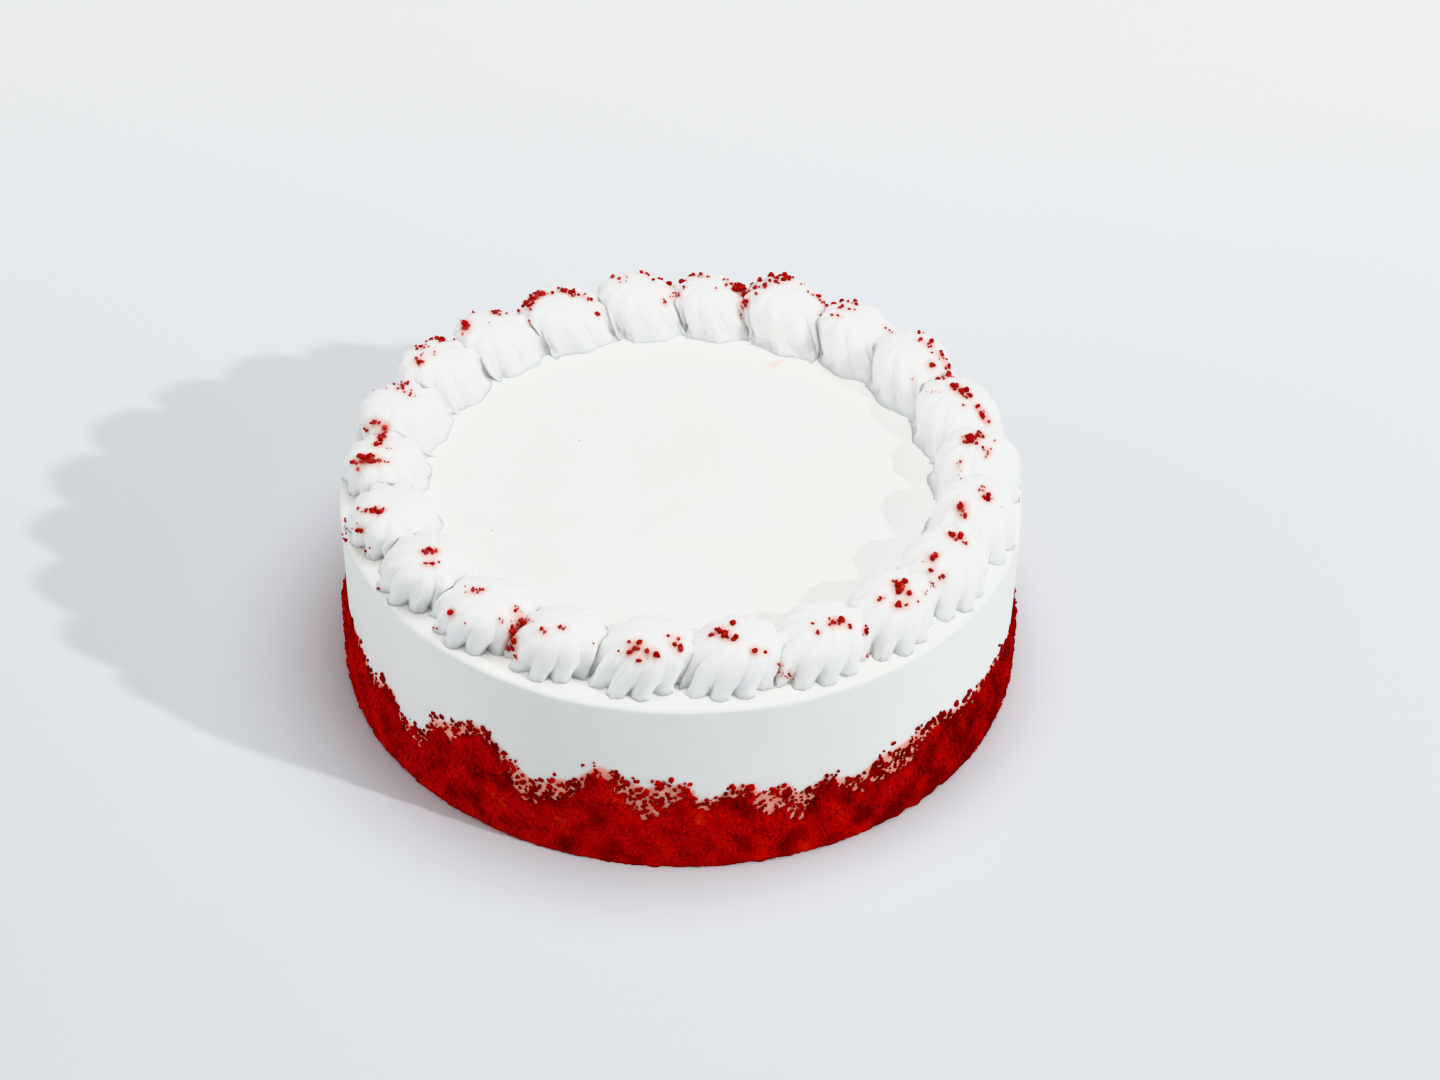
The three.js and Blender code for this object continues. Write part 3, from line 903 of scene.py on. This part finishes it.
def fallen(heaps, draw):
    """Places, sizes and tints of the crumbs of these heaps."""
    places, sizes, tints = [], [], []
    for px, py, wide, high, number, size in heaps:
        for _ in range(number):
            across, down = draw.normal(0, 0.62, 2)
            point, normal, _, _ = cream.ray_cast(eye, sight_line(px + wide * across, py + high * down))
            own = float(np.clip(0.7 * size * draw.lognormal(0, 0.34), 0.4, 2.4))
            tint = draw.normal(0.6, 0.16) - 0.22 * own
            if point is not None:
                places.append(point + normal * own * SEAT_OF_TOP_CRUMB * MM)
                sizes.append(own)
                tints.append(tint)
    return places, sizes, tints


draw = np.random.default_rng(91)
places, sizes, tints = fallen(HEAPS, draw)
print("crumbs that show on top:", len(places))

# %% Add the crumbs that the picture hides
HIDDEN_HEAPS = 34
BACK_FROM, BACK_TO = 115, 245
for _ in range(HIDDEN_HEAPS):
    azimuth = draw.uniform(BACK_FROM, BACK_TO)
    target = Vector(around(azimuth, ring_radius(azimuth) + draw.uniform(1, 7), BODY_HEIGHT + 12.0).tolist())
    outward = Vector(around(azimuth, 1000.0, 0.0).tolist()).normalized()
    from_above = (outward * 0.75 + Vector((0, 0, 1))).normalized()
    width = draw.uniform(1.0, 2.6) * MM
    for _ in range(int(draw.integers(2, 13))):
        shift = Vector((draw.normal(0, width), draw.normal(0, width), draw.normal(0, width)))
        point, normal, _, _ = cream.ray_cast(target + from_above * 0.1 + shift, -from_above)
        own = float(np.clip(draw.lognormal(math.log(1.4), 0.28), 0.5, 2.4))
        if point is not None and point.z > (BODY_HEIGHT + 1) * MM:
            places.append(point + normal * own * SEAT_OF_TOP_CRUMB * MM)
            sizes.append(own)
            tints.append(draw.normal(0.6, 0.16) - 0.24 * own)

places = np.array([place[:] for place in places])
sizes = np.array(sizes)
places[:, 2] = np.minimum(places[:, 2], CAD_HIGH.z - sizes * 0.62 * MM)
top_crumbs = crumb_mesh("top_crumbs", places, sizes, np.array(tints), dusted_crumb, 92)
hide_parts("cake", *[f"rosette_{i + 1:02d}" for i in range(ROSETTE_COUNT)])
print("top crumbs:", len(sizes))

# %% [markdown]
# ## Juice on the rosettes
#
# The juice of the fallen crumbs spreads a millimetre or two into the rosettes.
# Painting it by hand would take hours, so each point of a rosette asks a search
# tree which crumbs lie near it, and adds up a little pink from each.

# %% Let the juice of the crumbs stain the rosettes
STAIN_REACH = 1.7
DEEPEST_STAIN = 0.85
crumb_tree = KDTree(len(places))
for number, place in enumerate(places):
    crumb_tree.insert(place, number)
crumb_tree.balance()


def stain_at(point):
    """How pink the cream is here: every crumb near by adds a little, the big ones more."""
    juice = 0.0
    for _, number, distance in crumb_tree.find_range(point, 2.5 * STAIN_REACH * MM):
        juice += 0.2 * sizes[number] * math.exp(-((distance / MM / STAIN_REACH) ** 2))
    return DEEPEST_STAIN * (1 - math.exp(-juice))


for piece in rosettes:
    pink = [stain_at(vertex.co) for vertex in piece.data.vertices]
    piece.data.attributes["stain"].data.foreach_set("value", pink)
print("stained rosettes:", len(rosettes))

# %% [markdown]
# ## Floor and light
#
# The photo was taken on a pale cool grey sweep under broad soft light. The floor
# is one wide square a hair below the cake. Its colour pales towards the back as
# painted light, as if more light fell there. Most of the light comes from above,
# so the top is brightest and the side a step darker. A large soft lamp on the
# left fills the side there. A small lamp to the right and a little in front draws
# the long faint shadow with its scalloped edge; where the edge falls told its
# direction. The view transform is Khronos PBR Neutral, which keeps the deep red
# and rolls off bright cream gently.

# %% Lay the floor
FLOOR_HALF = 12
FLOOR_HEIGHT = -0.0002
floor_material, shader, start, places = start_material("studio_floor")
grain = start.noise(places, 60, detail=3)
behind = start.node("ShaderNodeSeparateXYZ", None, {0: places}, output=1)
# Painted light: the floor's colour pales towards the back, as if more light fell there.
painted_back_light = (behind + 0.01 * grain).between(-0.2, 0.62)
feed(shader, start, "Base Color", painted_back_light.blend(rgb(214, 219, 224), rgb(252, 253, 254)))
feed(shader, start, "Roughness", 0.72 + 0.1 * grain)
shader.inputs["Specular IOR Level"].default_value = 0.2
floor_mesh = bpy.data.meshes.new("floor")
corners = [(x * FLOOR_HALF, y * FLOOR_HALF, FLOOR_HEIGHT) for x, y in ((-1, -1), (1, -1), (1, 1), (-1, 1))]
floor_mesh.from_pydata(corners, [], [(0, 1, 2, 3)])
floor_mesh.materials.append(floor_material)
floor = bpy.data.objects.new("floor", floor_mesh)
bpy.context.scene.collection.objects.link(floor)
print("floor of", 2 * FLOOR_HALF, "m")

# %% Hang the lamps
SKY_STRENGTH = 0.16
OVERHEAD_WATTS = 23.8
FILL_WATTS = 14.5
KEY_WATTS = 74.0

world = bpy.data.worlds.new("studio")
world.use_nodes = True
world.node_tree.nodes["Background"].inputs["Color"].default_value = (0.975, 0.99, 0.985, 1)
world.node_tree.nodes["Background"].inputs["Strength"].default_value = SKY_STRENGTH
bpy.context.scene.world = world


def lamp(name, kind, azimuth, elevation, distance, **settings):
    """A lamp that shines at the cake from this azimuth and elevation in degrees."""
    data = bpy.data.lights.new(name, kind)
    for setting, value in settings.items():
        setattr(data, setting, value)
    made = bpy.data.objects.new(name, data)
    bpy.context.scene.collection.objects.link(made)
    up = math.radians(elevation)
    place = around(azimuth, distance * math.cos(up) / MM, distance * math.sin(up) / MM)
    made.location = place.tolist()
    made.rotation_euler = (Vector((0, 0, 0.04)) - made.location).to_track_quat("-Z", "Y").to_euler()
    return made


lamp("overhead", "AREA", 110, 80, 1.8, energy=OVERHEAD_WATTS, shape="DISK", size=1.6)
lamp("left_fill", "AREA", -68, 25, 2.0, energy=FILL_WATTS, shape="DISK", size=1.6)
lamp("key", "POINT", 65, 33, 2.02, energy=KEY_WATTS, shadow_soft_size=0.035)
bpy.context.scene.view_settings.view_transform = "Khronos PBR Neutral"
print("lamps hung; view transform", bpy.context.scene.view_settings.view_transform)
